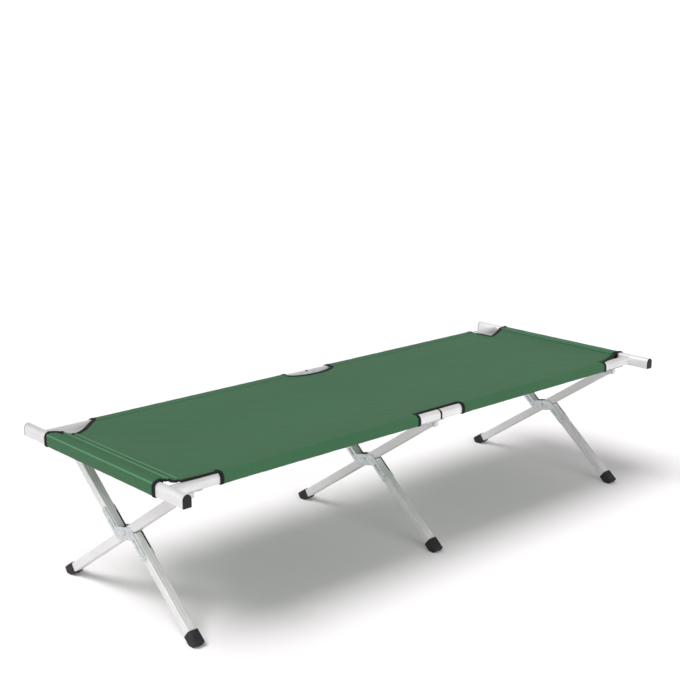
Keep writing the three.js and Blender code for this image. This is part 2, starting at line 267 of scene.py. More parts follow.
def aluminium(name, source="UV", scale=(14, 900, 1)):
    """Drawn tube: fine streaks along the draw, cloudy wear and small scratches in the gloss."""
    mat, tree, s = nodes_of(name)
    streak = noise(tree, coordinates(tree, source, scale), 1.0, 2.0, 0.6)
    cloud = noise(tree, coordinates(tree, "Object", (1, 1, 1)), 9.0, 4.0)
    grain = noise(tree, coordinates(tree, "Object", (1, 1, 1)), 160.0, 2.0)
    both = chain(tree, "Math", {0: streak, 1: cloud}, operation="MULTIPLY").outputs[0]
    worn = tint(tree, spread(tree, both, 0.12, 0.42, 0, 1), (0.60, 0.60, 0.60), (0.78, 0.775, 0.77))
    tree.links.new(worn, s.inputs["Base Color"])
    tree.links.new(spread(tree, cloud, 0.3, 0.7, 0.34, 0.48), s.inputs["Roughness"])
    height = chain(tree, "Math", {0: streak, 1: grain}, operation="ADD").outputs[0]
    bump = chain(tree, "Bump", {"Strength": 0.08, "Distance": 0.0004, "Height": height})
    tree.links.new(bump.outputs[0], s.inputs["Normal"])
    s.inputs["Metallic"].default_value = 0.40
    s.inputs["Specular IOR Level"].default_value = 0.5
    return mat


def galvanised(name):
    """Zinc plate: crystal patches in two greys, a little dull bloom, dark specks in the pores."""
    mat, tree, s = nodes_of(name)
    co = coordinates(tree, "Object", (1, 1, 1))
    patch = chain(tree, "TexVoronoi", {"Vector": co, "Scale": 190.0}).outputs["Color"]
    grey = chain(tree, "SeparateColor", {0: patch}).outputs[0]
    bloom = noise(tree, co, 45.0, 4.0)
    mixed = chain(tree, "Math", {0: grey, 1: bloom}, operation="ADD").outputs[0]
    zinc = tint(tree, spread(tree, mixed, 0.4, 1.5, 0, 1), (0.46, 0.49, 0.50), (0.66, 0.69, 0.70))
    tree.links.new(zinc, s.inputs["Base Color"])
    tree.links.new(spread(tree, grey, 0, 1, 0.30, 0.50), s.inputs["Roughness"])
    bump = chain(tree, "Bump", {"Strength": 0.15, "Distance": 0.0003, "Height": mixed})
    tree.links.new(bump.outputs[0], s.inputs["Normal"])
    s.inputs["Metallic"].default_value = 0.8
    return mat


def moulded(name, base, rough, grain=420.0):
    """Moulded rubber or plastic: a fine matt grain, with scuffs that are paler and duller."""
    mat, tree, s = nodes_of(name)
    co = coordinates(tree, "Object", (1, 1, 1))
    fine, scuff = noise(tree, co, grain, 2.0), noise(tree, co, 38.0, 5.0, 0.65)
    pale = tuple(c * 2.2 + 0.006 for c in base)
    tree.links.new(tint(tree, spread(tree, scuff, 0.52, 0.78, 0, 1), base, pale), s.inputs["Base Color"])
    tree.links.new(spread(tree, scuff, 0.4, 0.75, rough, min(1, rough + 0.2)), s.inputs["Roughness"])
    bump = chain(tree, "Bump", {"Strength": 0.25, "Distance": 0.0004, "Height": fine})
    tree.links.new(bump.outputs[0], s.inputs["Normal"])
    s.inputs["Specular IOR Level"].default_value = 0.25
    return mat


def woven(name, dark, light, pitch, sheen):
    """Plain weave on the cloth's own uv, in metres: two thread waves, warp over weft, with slubs and
    dye drift."""
    mat, tree, s = nodes_of(name)
    uv = chain(tree, "TexCoord").outputs["UV"]
    part = chain(tree, "SeparateXYZ", {0: uv})
    turns = 2 * math.pi / pitch
    wave = []
    for k in (0, 1):
        angle = chain(tree, "Math", {0: part.outputs[k], 1: turns}, operation="MULTIPLY").outputs[0]
        wave.append(chain(tree, "Math", {0: angle}, operation="SINE").outputs[0])
    weave = chain(tree, "Math", {0: wave[0], 1: wave[1]}, operation="MULTIPLY").outputs[0]
    slub = noise(tree, chain(tree, "Mapping", {0: uv, 3: (90, 1400, 1)}).outputs[0], 1.0, 2.0)
    drift = noise(tree, coordinates(tree, "Object", (1, 1, 1)), 3.2, 4.0)
    mixed = chain(tree, "Math", {0: slub, 1: drift}, operation="ADD").outputs[0]
    threads = chain(tree, "Math", {0: weave, 1: 0.10}, operation="MULTIPLY").outputs[0]
    tone = chain(tree, "Math", {0: mixed, 1: threads}, operation="ADD").outputs[0]
    tree.links.new(tint(tree, spread(tree, tone, 0.6, 1.4, 0, 1), dark, light), s.inputs["Base Color"])
    tree.links.new(spread(tree, drift, 0.3, 0.7, 0.62, 0.74), s.inputs["Roughness"])
    height = chain(tree, "Math", {0: weave, 1: slub}, operation="ADD").outputs[0]
    bump = chain(tree, "Bump", {"Strength": 0.35, "Distance": 0.00012, "Height": height})
    tree.links.new(bump.outputs[0], s.inputs["Normal"])
    s.inputs["Sheen Weight"].default_value = sheen
    s.inputs["Sheen Roughness"].default_value = 0.45
    s.inputs["Specular IOR Level"].default_value = 0.18
    return mat


ALUMINIUM = aluminium("drawn_aluminium")
ZINC = galvanised("galvanised_steel")
RUBBER = moulded("foot_rubber", (0.016, 0.016, 0.018), 0.62)
PLASTIC = moulded("cap_plastic", (0.010, 0.010, 0.011), 0.45, 700.0)
GREEN = woven("green_polyester", (0.030, 0.100, 0.045), (0.044, 0.134, 0.062), 0.0009, 0.02)
TAPE = woven("black_edge_tape", (0.003, 0.003, 0.004), (0.010, 0.010, 0.011), 0.0012, 0.0)
# The welt green is paler than the deck cloth and has more sheen: painted highlight on the raised welts
# along the hems and the bar's shoulder.
WELT_HIGHLIGHT = woven("green_welt_painted_highlight", (0.055, 0.165, 0.085), (0.090, 0.235, 0.125), 0.0007, 0.10)
THREAD = woven("green_thread", (0.030, 0.085, 0.044), (0.060, 0.140, 0.080), 0.0004, 0.2)

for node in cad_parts.values():
    if any(word in node.name for word in ("bracket", "clevis", "plate", "link", "peg")):
        node.data.materials.clear()
        node.data.materials.append(ZINC)


# ---- rails and end bars ----
def along_x(y0, z0):
    return lambda a, b, s: np.stack([s + 0 * a, y0 + a, z0 + b], -1)


def along_y(x0, z0):
    return lambda a, b, s: np.stack([x0 - a, s + 0 * a, z0 + b], -1)


def rails():
    """Each rail half is the arch outline carried along X from the end bar to the middle."""
    outer, inner = arch_outline(RAIL_W, RAIL_H), arch_outline(RAIL_W, RAIL_H, -WALL)
    for word, side in (("near", -1), ("far", 1)):
        for hand, end in (("left", -1), ("right", 1)):
            a, b = sorted((end * RAIL_OUT, end * RAIL_IN))
            grid = hollow_sweep(outer, inner, a, b, along_x(side * RAIL_Y, RAIL_Z))
            o = surface(f"{word}_rail_{hand}_tube", grid, ALUMINIUM, f"{word}_rail_{hand}", "aluminium",
                        wrap_u=True, wrap_v=True)
            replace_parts(sharpened(o), f"{word}_rail_{hand}")

            def place(sec, out, side=side, end=end):
                x = end * (0.0009 - out)
                return np.stack([0 * sec[:, 0] + x, side * RAIL_Y + sec[:, 0], RAIL_Z + sec[:, 1]], -1)
            plug_face(outer, np.array([0, RAIL_H * 0.5]), place, 0.0004, 0.009, f"{word}_rail_cap_{hand}",
                      f"{word}_rail_{hand}")


def plug_face(outline, centre, axis_place, crown, depth, name, body):
    """A moulded plug: a face that rises by crown at its middle, a rounded edge, and a skirt of that
    depth. Ring k is the outline scaled by r about the centre, at height crown (1 - r^4)."""
    o = outline - centre
    rows = []
    for r in np.linspace(0.02, 1, 12):
        edge = crown * (1 - r**4) - 0.0007 * smoothstep((r - 0.9) / 0.1)
        rows.append(axis_place(centre + o * (r * 0.985), edge))
    rows.append(axis_place(outline, -0.0012))
    rows.append(axis_place(outline, -0.0026))
    rows.append(axis_place(centre + o * 0.84, -0.0026))
    rows.append(axis_place(centre + o * 0.84, -depth))
    rows += [axis_place(centre + o * r, -depth) for r in (0.4, 0.02)]
    grid = np.stack(rows, 0)
    obj = surface(name, grid, PLASTIC, body, "black_plastic", wrap_v=True)
    close_poles(obj)
    return obj


def close_poles(obj):
    """Closes the small rings left at the poles of a piece, and turns every face out."""
    bm = bmesh.new()
    bm.from_mesh(obj.data)
    bmesh.ops.holes_fill(bm, edges=[e for e in bm.edges if e.is_boundary])
    bmesh.ops.recalc_face_normals(bm, faces=bm.faces)
    bm.to_mesh(obj.data)
    bm.free()


def end_bars():
    """Each end bar is the arch outline carried along Y, with a black plug in each end."""
    outer, inner = arch_outline(BAR_W, BAR_H), arch_outline(BAR_W, BAR_H, -WALL)
    for hand, end in (("left", -1), ("right", 1)):
        base = BED_TOP - BAR_H
        grid = hollow_sweep(outer, inner, -BAR_HALF, BAR_HALF, along_y(end * BAR_X, base))
        o = surface(f"{hand}_bar_tube", grid, ALUMINIUM, f"{hand}_bar", "aluminium",
                    wrap_u=True, wrap_v=True)
        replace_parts(sharpened(o), f"{hand}_end_bar")
        for word, side in (("near", -1), ("far", 1)):
            def place(sec, out, side=side, end=end):
                y = side * (BAR_HALF + 0.0028 + out)
                return np.stack([end * BAR_X + side * sec[:, 0], 0 * sec[:, 0] + y, base + sec[:, 1]], -1)
            cap = plug_face(outer, np.array([0, BAR_H * 0.48]), place, 0.0004, 0.012,
                            f"{word}_cap_{hand}_plug", f"{hand}_bar")
            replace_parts(sharpened(cap), f"{word}_cap_{hand}")


# ---- X frames ----
def leg_place(x0, origin, angle, offset=0.0):
    """Section (a, b) of a leg at s: a is along X, b is square to the leg, and s runs down it at that
    angle."""
    c, n = math.cos(angle), math.sin(angle)

    def place(a, b, s):
        b = b + offset
        return np.stack([x0 + a, origin[0] + s * c - b * n, origin[1] + s * n + b * c], -1)

    return place


def leg_section():
    """Square tube and its bore. The two faces square to b have a pair of shallow grooves: the face's
    depth is h - g at 3.9 to 5.1 mm each side of its middle."""
    def outline(h, corner, groove):
        t = np.linspace(0, math.pi / 2, 5)
        bend = np.stack([h - corner + corner * np.sin(t), -h + corner - corner * np.cos(t)], -1)
        a = np.array([-0.0057, -0.0051, -0.0039, -0.0033, 0.0033, 0.0039, 0.0051, 0.0057])
        depth = np.tile([0, groove, groove, 0], 2)
        lower = np.concatenate([np.stack([a, -h + depth], -1), bend])
        side = np.stack([h - corner + corner * np.cos(t), h - corner + corner * np.sin(t)], -1)
        half = np.concatenate([lower, side])
        return np.concatenate([half, -half])

    return outline(LEG / 2, 0.0024, 0.0010), outline(LEG / 2 - LEG_WALL, 0.0012, 0.0)


def flat_runs(section, pieces=6):
    """Adds points along the straight sides, so that a curved end has enough of them."""
    out = []
    for p, q in zip(section, np.roll(section, -1, 0)):
        n = pieces if np.linalg.norm(q - p) > 0.006 else 1
        out.append(p + (q - p) * (np.arange(n) / n)[:, None])
    return np.concatenate(out)


def leg_tube(name, place, start, end, body, node):
    """A leg tube. Where start is None its top is rounded about the pin at s = 0: s = -sqrt(R^2 - b^2)."""
    outer, inner = (flat_runs(s) for s in leg_section())
    turn = -0.98 * np.sqrt(np.clip((LEG / 2) ** 2 - outer[:, 1] ** 2, 1e-9, None))
    top = turn if start is None else start
    grid = hollow_sweep(outer, inner, top, end, place)
    o = surface(name, grid, ALUMINIUM, body, "aluminium", wrap_u=True, wrap_v=True)
    close_poles(o)
    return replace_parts(sharpened(o, 40), node)


def foot(name, place, slope, body, node):
    """Rubber boot: a rounded square sleeve with a soft cuff, whose end is square to the leg until it
    meets the floor. Its end face is s(a, b) = min(end, where the line through (a, b) reaches z = 0)."""
    f = FOOT / 2
    sec = flat_runs(rounded([(-f, -f), (f, -f), (f, f), (-f, f)], 0.0045, 5), 5)

    def tip(p, grow):
        reach = place(p[:, 0], p[:, 1], np.zeros(len(p)))[:, 2] / slope
        return np.minimum(FOOT_END - grow, reach)

    scaled = lambda r: sec * r
    rows = []
    for r, s in ((0.90, -FOOT_COVER), (0.965, -FOOT_COVER), (1.0, -FOOT_COVER + 0.0012), (1.0, -0.012),
                 (0.985, -0.0105), (0.985, -0.009), (1.0, -0.0075)):
        rows.append(place(scaled(r)[:, 0], scaled(r)[:, 1], np.full(len(sec), s)))
    edge = tip(sec, 0.0)
    rows.append(place(sec[:, 0], sec[:, 1], np.minimum(edge - 0.0016, FOOT_END - 0.0016)))
    for r in (0.955, 0.8, 0.6, 0.4, 0.2, 0.03):
        p = scaled(r)
        rows.append(place(p[:, 0], p[:, 1], tip(p, 0.0)))
    inner = sec * ((LEG / 2 + 0.0002) / f)
    rows = [place(inner[:, 0] * r, inner[:, 1] * r, np.full(len(sec), s)) for r, s in
            ((0.03, 0.0), (0.5, 0.0), (1.0, 0.0), (1.0, -0.01), (1.0, -FOOT_COVER + 0.0006))] + rows
    grid = np.stack(rows, 0)
    grid[..., 2] = np.maximum(grid[..., 2], 0.00002)
    o = surface(name, grid, RUBBER, body, "rubber", wrap_v=True)
    close_poles(o)
    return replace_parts(sharpened(o, 50), node)


def dome(name, centre, radius, height, direction, body, material=None, hollow=0.0):
    """Rivet head: z = h sqrt(1 - (r/R)^2) turned about its axis, with a dimple of share hollow at its
    middle."""
    t = np.linspace(0, 1, 9)
    r = radius * np.concatenate([t, [1.0, 0.9, 0.02]])
    crown = height * np.sqrt(1 - t**2) * (1 - hollow * np.exp(-((t / 0.3) ** 2)))
    z = np.concatenate([crown, [-0.0003] * 3])
    r[0] = radius * 0.02
    a = np.linspace(0, 2 * math.pi, 21)[:-1]
    d = np.array(direction, float)
    side = np.cross(d, [0, 0, 1.0] if abs(d[2]) < 0.9 else [1.0, 0, 0])
    side /= np.linalg.norm(side)
    up = np.cross(d, side)
    grid = (np.array(centre) + z[:, None, None] * d + r[:, None, None]
            * (np.cos(a)[None, :, None] * side + np.sin(a)[None, :, None] * up))
    o = surface(name, grid, material or ZINC, body, "steel", wrap_v=True)
    close_poles(o)
    return o


def split_insert(name, place, body, sign):
    """Black insert in the crossing end of a half leg: a plug face across the end, and a narrow black
    strip that runs up one edge of the face, thinning to nothing. The strip is painted shadow, standing in
    for the shaded gap beside the plate."""
    h = LEG / 2
    # painted shadow: a thin black strip along one edge of the face, for the shaded gap beside the plate
    shade_strip = np.array([(h - 0.0034, 0), (h - 0.0004, 0), (h - 0.0004, 0.0008), (h - 0.0034, 0.0008)])
    s = np.linspace(0, 0.052, 12)
    thin = np.clip((0.0525 - s) / 0.012, 0.08, 1)
    grid = np.stack([place(shade_strip[:, 0], sign * (h - 0.0001 + shade_strip[:, 1] * k), np.full(4, v))
                     for v, k in zip(s, thin)], 0)
    close_poles(surface(name + "_shadow_strip", grid, PLASTIC, body, "black_plastic", wrap_v=True))
    face = rounded([(-h, -h), (h, -h), (h, h), (-h, h)], 0.0024)
    rows = [place(face[:, 0] * r, face[:, 1] * r, np.full(len(face), v)) for r, v in
            ((0.02, 0.012), (0.84, 0.012), (0.84, -0.0002), (1.0, -0.0002),
             (1.0, -0.0011), (0.94, -0.0015), (0.02, -0.0015))]
    plug = surface(name + "_plug", np.stack(rows, 0), PLASTIC, body, "black_plastic", wrap_v=True)
    close_poles(plug)


def x_frames():
    """Each X frame: a long leg from the near pin to the far foot, and a split leg whose halves lie one
    plate offset to either side of the line through the crossing. Both angles follow from the pin and
    the crossing."""
    for name, x in FRAMES.items():
        top = leg_place(x, (-PIN_Y, PIN_Z), -LONG_ANGLE)
        long_end = REACH + LONG_BELOW
        leg_tube(f"long_leg_{name}_tube", top, None, long_end, f"long_leg_{name}", f"long_leg_{name}")
        foot(f"long_foot_{name}_boot", lambda a, b, s: top(a, b, s + long_end), math.sin(LONG_ANGLE),
             f"long_leg_{name}", f"long_foot_{name}")
        body = f"split_leg_{name}"
        c, n = math.cos(SPLIT_ANGLE), math.sin(SPLIT_ANGLE)
        pin = (SPLIT_REACH * c + SPLIT_OFF * n, CROSS_Z + SPLIT_REACH * n - SPLIT_OFF * c)
        upper = leg_place(x, pin, SPLIT_ANGLE + math.pi)
        end = SPLIT_REACH - SPLIT_START
        leg_tube(f"split_upper_{name}_tube", upper, None, end, body, f"split_upper_{name}")
        split_insert(f"upper_insert_{name}", lambda a, b, s: upper(a, b, end - s), body, -1)
        lower = leg_place(x, (-SPLIT_OFF * n, CROSS_Z + SPLIT_OFF * c), SPLIT_ANGLE + math.pi)
        leg_tube(f"split_lower_{name}_tube", lower, SPLIT_START, SPLIT_BELOW, body, f"split_lower_{name}")
        split_insert(f"lower_insert_{name}", lambda a, b, s: lower(a, b, s + SPLIT_START), body, -1)
        foot(f"split_foot_{name}_boot", lambda a, b, s: lower(a, b, s + SPLIT_BELOW),
             math.sin(SPLIT_ANGLE), body, f"split_foot_{name}")
        out = LEG / 2 + 0.0003 + 0.002
        for k, (t, m, r) in enumerate(((RIVET_FAR, SPLIT_OFF, 0.0046), (-RIVET_FAR, -SPLIT_OFF, 0.0046),
                                       (RIVET_NEAR, SPLIT_OFF, 0.0028), (-RIVET_NEAR, -SPLIT_OFF, 0.0028),
                                       (0.0, 0.0, 0.0068))):
            y, z = t * c + m * n, CROSS_Z + t * n - m * c
            lift = 0.0012 if r > 0.004 else 0
            for word, sx in (("front", -1), ("back", 1)):
                if word == "back" and r > 0.006:
                    continue
                dome(f"{word}_rivet_{name}_{k}", (x + sx * (out + lift), y, z), r, 0.0014,
                     (sx, 0, 0), body, hollow=0.45)


# ---- cloth ----
def side_profile(steps=60):
    """The sleeve's section about a rail, from the seam over the crown, down the outer side, under the
    rail and back up to the seam. (a, b): a is out from the bed's middle, b is up from the rail's
    floor."""
    seam = RAIL_Y - SEAM_Y
    r = RAIL_W / 2 + SLEEVE_GROW
    top = RAIL_H - RAIL_W / 2
    t = np.linspace(math.pi * 0.5, 0, 12)
    crown = np.stack([r * np.cos(t), top + r * np.sin(t)], -1)
    t = np.linspace(0, -math.pi / 2, 6)
    out = np.stack([r - 0.003 + 0.003 * np.cos(t), -0.0012 + 0.003 + 0.003 * np.sin(t)], -1)
    t = np.linspace(-math.pi / 2, -math.pi * 0.95, 6)
    back = np.stack([-r + 0.003 + 0.003 * np.cos(t), -0.0012 + 0.003 + 0.003 * np.sin(t)], -1)
    path = np.concatenate([[(-seam, RAIL_H + 0.0012)], [(-seam / 2, RAIL_H + 0.0012)], crown, out, back,
                           [(-seam + 0.001, RAIL_H - 0.004)], [(-seam, RAIL_H - 0.0002)]])
    d = np.concatenate([[0], np.cumsum(np.linalg.norm(np.diff(path, axis=0), axis=1))])
    s = np.linspace(0, d[-1], steps)
    return np.stack([np.interp(s, d, path[:, k]) for k in (0, 1)], -1), s


def ripple(x, s, seed, amount):
    """Small pulls in tight cloth: three sines of unlike pitch, the same each run."""
    return amount * (np.sin(x * 43 + seed) * np.sin(s * 61 + 1.7 * seed)
                     + 0.6 * np.sin(x * 97 + s * 140 + 2.1 * seed)
                     + 0.4 * np.sin(x * 211 - s * 90 + seed)) / 2


def side_sleeves():
    """Each sleeve is the side profile carried along its rail, pulled in a little between its ends, with
    small pulls that die out at the seam."""
    prof, s = side_profile()
    x = np.linspace(NOTCH_MID, NOTCH_END, 150)
    for word, side in (("near", -1), ("far", 1)):
        for hand, end in (("left", -1), ("right", 1)):
            a, b = prof[None, :, 0] + 0 * x[:, None], prof[None, :, 1] + 0 * x[:, None]
            near_end = np.minimum(x - NOTCH_MID, NOTCH_END - x)[:, None]
            free = np.exp(-near_end / 0.02) * 0.0006
            calm = smoothstep(s[None] / 0.02)
            d = 0.0003 + (free + ripple(x[:, None], s[None], side + 2 * end, 0.00035)) * calm
            nrm = np.gradient(prof, axis=0)
            nrm = np.stack([-nrm[:, 1], nrm[:, 0]], -1) / (np.linalg.norm(nrm, axis=1)[:, None] + 1e-12)
            a = a + nrm[None, :, 0] * d
            b = b + nrm[None, :, 1] * d
            grid = np.stack([end * x[:, None] + 0 * a, side * (RAIL_Y + a), RAIL_Z + b], -1)
            uv = np.stack(np.meshgrid(x, s, indexing="ij"), -1)
            if side * end > 0:
                grid, uv = grid[:, ::-1], uv[:, ::-1]
            name = f"{word}_side_sleeve_{hand}"
            o = cloth(name, grid, GREEN, f"{word}_rail_{hand}", uv)
            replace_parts(o, f"{word}_sleeve_{hand}")
            for k, where in enumerate((NOTCH_MID, NOTCH_END)):
                bare = slice(int(np.argmax(prof[:, 0] > -0.010)), len(prof) - 3)
                path = np.stack([np.full(len(prof), end * where), side * (RAIL_Y + prof[:, 0]),
                                 RAIL_Z + prof[:, 1]], -1)[bare]
                ring = np.stack([0 * nrm[:, 0], side * nrm[:, 0], nrm[:, 1]], -1)[bare]
                path = path + ring * 0.0003
                tape(f"{word}_{hand}_sleeve_tape_{k}", path, ring, f"{word}_rail_{hand}")


def tape(name, path, up, body, half=0.0058, thick=0.0022, squash=False, material=None,
         slot="black_plastic"):
    """Edge tape folded over a cut edge: a flat oval, half wide and thick high, carried along the path."""
    d = np.gradient(path, axis=0)
    d /= np.linalg.norm(d, axis=1)[:, None] + 1e-12
    across = np.cross(d, up)
    across /= np.linalg.norm(across, axis=1)[:, None] + 1e-12
    t = np.linspace(0, 2 * math.pi, 17)[:-1]
    ca, sa = np.sign(np.cos(t)) * np.abs(np.cos(t)) ** 0.6, np.sign(np.sin(t)) * np.abs(np.sin(t)) ** 0.6
    grid = (path[:, None] + half * ca[None, :, None] * across[:, None]
            + thick * sa[None, :, None] * up[:, None])
    o = surface(name, grid, material or TAPE, body, slot, wrap_v=True)
    close_poles(o)
    if squash:
        squash_across(o)
    return o


# the cut edges of the corner notches as (|x|, y), for the left (-1) and the right end (1)
FAR_NOTCH = {
    -1: [(0.7832, 0.2780), (0.8000, 0.2640), (0.8320, 0.2340), (0.8540, 0.2150), (0.8760, 0.2000),
         (0.8930, 0.1940), (0.9050, 0.1985), (0.9110, 0.2160), (0.9170, 0.2400), (0.9220, 0.2480)],
    1: [(0.7832, 0.2700), (0.7845, 0.2500), (0.7865, 0.2140), (0.7900, 0.1990), (0.7970, 0.1920),
        (0.8100, 0.1970), (0.8450, 0.2130), (0.8750, 0.2280), (0.9040, 0.2430), (0.9220, 0.2480)]}
NEAR_NOTCH = {
    -1: [(0.7832, 0.2870), (0.8600, 0.2860), (0.8950, 0.2840), (0.9070, 0.2780), (0.9155, 0.2640),
         (0.9220, 0.2475)],
    1: [(0.7832, 0.2870), (0.8000, 0.2840), (0.8300, 0.2770), (0.8550, 0.2700), (0.9000, 0.2550),
        (0.9220, 0.2475)]}


def notched(x, table):
    """The edge through the listed points (|x|, y), eased so that the corners between them are round."""
    spots = np.array(table)
    near = [np.interp(x + d, spots[:, 0], spots[:, 1]) for d in (-0.003, -0.0015, 0, 0.0015, 0.003)]
    return np.mean(near, axis=0)


def far_edge(x, end):
    """How far the deck reaches at |x| on the far side: to the seam, or to the cut edge of a notch."""
    x = np.abs(x)
    mid = 0.2725 - 0.038 * np.sqrt(np.clip(1 - (x / NOTCH_MID) ** 2, 0, 1))
    return np.where(x < NOTCH_MID, mid, np.where(x > NOTCH_END, notched(x, FAR_NOTCH[end]), SEAM_Y))


def near_edge(x, end):
    """How far the deck reaches at |x| on the near side: to the seam, to the rail's shoulder at the
    middle, or from over the rail to the end bar at a corner."""
    x = np.abs(x)
    corner = notched(x, NEAR_NOTCH[end])
    return np.where(x < NOTCH_MID, SHOULDER_Y, np.where(x > NOTCH_END, corner, SEAM_Y))


def deck_height(x, y):
    """Height of the tight deck: level with the sleeves at its sides and with the bars at its ends,
    hanging a few millimetres between them, with two stitched ridges along each end and faint pulls from
    notch to notch."""
    ax = np.abs(x)
    level = RAIL_TOP + 0.0015 + (BED_TOP + 0.0006 - RAIL_TOP - 0.0015) * smoothstep((ax - 0.80) / 0.115)
    hang = 0.5 * (1 + np.cos(np.clip(y / SEAM_Y, -1, 1) * math.pi))
    sag = 0.0055 * hang * smoothstep((0.925 - ax) / 0.20)
    pull = 0.0006 * np.sin((ax * 0.9 + y * 0.5) * 55) * np.exp(-((np.abs(y) - 0.2) ** 2) / 0.004)
    calm = (smoothstep((0.885 - ax) / 0.05) * smoothstep((SEAM_Y - np.abs(y)) / 0.03)
            * smoothstep(ax / 0.08))
    ridge = sum(0.0023 * np.exp(-((ax - at) / 0.0017) ** 2) for at in HEM_ROWS)
    creases = pull * smoothstep((ax - 0.55) / 0.25) + ripple(x, y, 0.7, 0.0004)
    return level - sag + creases * calm + ridge


def evenly(start, stop, curve, count):
    """Values of x from start to stop at equal distances along the curve y(x)."""
    x = np.linspace(start, stop, 3000)
    run = np.concatenate([[0], np.cumsum(np.hypot(np.diff(x), np.diff(curve(x))))])
    return np.interp(np.linspace(0, run[-1], count), run, x)


def deck():
    """Each half of the deck is z(x, y) between its two side edges y(x), from the middle to the end
    bar."""
    middle = np.minimum(NOTCH_MID * np.sin(np.linspace(0, math.pi / 2, 26)), NOTCH_MID - 0.0004)
    xs = np.concatenate([middle, [NOTCH_MID + 0.0001],
                         np.linspace(NOTCH_MID + 0.004, NOTCH_END - 0.004, 120), [NOTCH_END - 0.0001],
                         np.linspace(NOTCH_END + 0.0004, 0.800, 28), np.linspace(0.802, 0.884, 34),
                         np.linspace(0.8846, HEM_X, 64)])
    v = np.linspace(0, 1, 130)
    for hand, end in (("left", -1), ("right", 1)):
        lo, hi = -near_edge(xs, end), far_edge(xs, end)
        y = lo[:, None] + (hi - lo)[:, None] * v[None]
        x = end * xs[:, None] + 0 * y
        grid = np.stack([x, y, deck_height(x, y)], -1)
        uv = np.stack([x, y], -1)
        if end < 0:
            grid, uv = grid[:, ::-1], uv[:, ::-1]
        o = cloth(f"deck_cloth_{hand}", grid, GREEN, f"near_rail_{hand}", uv)
        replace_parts(o, f"deck_{hand}")
        squash_across(o)
        flat = lambda p, q: np.stack([end * p, q, deck_height(end * p, q) - CLOTH / 2], -1)
        up = lambda p: np.tile([0, 0, 1.0], (len(p), 1))
        for word, edge, sign in (("near", near_edge, -1), ("far", far_edge, 1)):
            for spot, start, stop in (("middle", 0, NOTCH_MID - 0.0001),
                                      ("corner", NOTCH_END + 0.0001, HEM_X - 0.001)):
                p = evenly(start, stop, lambda q: edge(q, end), 70)
                tape(f"{word}_{spot}_tape_{hand}", flat(p, sign * edge(p, end)), up(p),
                     f"near_rail_{hand}", squash=True)


def end_sleeves():
    """The cloth round an end bar: the arch outline grown by the cloth, from the hem over the top, down
    the outer face, under the bar and back. Its cut ends lean inwards on the top and inner side."""
    r = BAR_W / 2 + SLEEVE_GROW
    top = BAR_H - BAR_W / 2
    t = np.linspace(math.pi * 0.5, 0, 12)
    crown = np.stack([r * np.cos(t), top + r * np.sin(t)], -1)
    t = np.linspace(0, -math.pi / 2, 5)
    low = np.stack([r - 0.003 + 0.003 * np.cos(t), 0.0018 + 0.003 * np.sin(t)], -1)
    t = np.linspace(-math.pi / 2, -math.pi, 5)
    back = np.stack([-r + 0.003 + 0.003 * np.cos(t), 0.0018 + 0.003 * np.sin(t)], -1)
    path = np.concatenate([[(-r - 0.0002, BAR_H + 0.0006)], [(-r / 2, BAR_H + 0.0010)], crown, low, back,
                           [(-r, BAR_H - 0.006)], [(-r - 0.0002, BAR_H - 0.0003)]])
    d = np.concatenate([[0], np.cumsum(np.linalg.norm(np.diff(path, axis=0), axis=1))])
    s = np.linspace(0, d[-1], 140)
    prof = np.stack([np.interp(s, d, path[:, k]) for k in (0, 1)], -1)
    nrm = np.gradient(prof, axis=0)
    nrm = np.stack([-nrm[:, 1], nrm[:, 0]], -1) / np.linalg.norm(nrm, axis=1)[:, None]
    lean = smoothstep((-prof[:, 0] + 0.006) / 0.018)
    far = BAR_SLEEVE_HALF - 0.006 * lean
    near = -far
    v = np.linspace(0, 1, 150)
    for hand, end in (("left", -1), ("right", 1)):
        y = near[None] + (far - near)[None] * v[:, None]
        ridge = sum(h * np.exp(-((s[None] - at) / 0.0018) ** 2)
                    for at, h in ((0.030, 0.0019), (0.043, 0.0011)))
        dd = ripple(y * 1.3, s[None], 3.3 + end, 0.0003) + ridge + 0.0003
        a = prof[None, :, 0] + nrm[None, :, 0] * dd
        b = prof[None, :, 1] + nrm[None, :, 1] * dd
        grid = np.stack([end * (BAR_X + a), y, BED_TOP - BAR_H + b], -1)
        uv = np.stack(np.meshgrid(v * 2 * BAR_SLEEVE_HALF, s, indexing="ij"), -1)
        if end > 0:
            grid, uv = grid[:, ::-1], uv[:, ::-1]
        o = cloth(f"{hand}_bar_sleeve", grid, GREEN, f"near_rail_{hand}", uv)
        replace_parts(o, f"{hand}_end_sleeve")
        squash_across(o)
        for word, edge in (("near", near), ("far", far)):
            p = np.stack([end * (BAR_X + prof[:, 0]), edge, BED_TOP - BAR_H + prof[:, 1]], -1)
            up = np.stack([end * nrm[:, 0], 0 * edge, nrm[:, 1]], -1)
            tape(f"{word}_{hand}_bar_tape", p + up * 0.0003, up, f"near_rail_{hand}", squash=True)


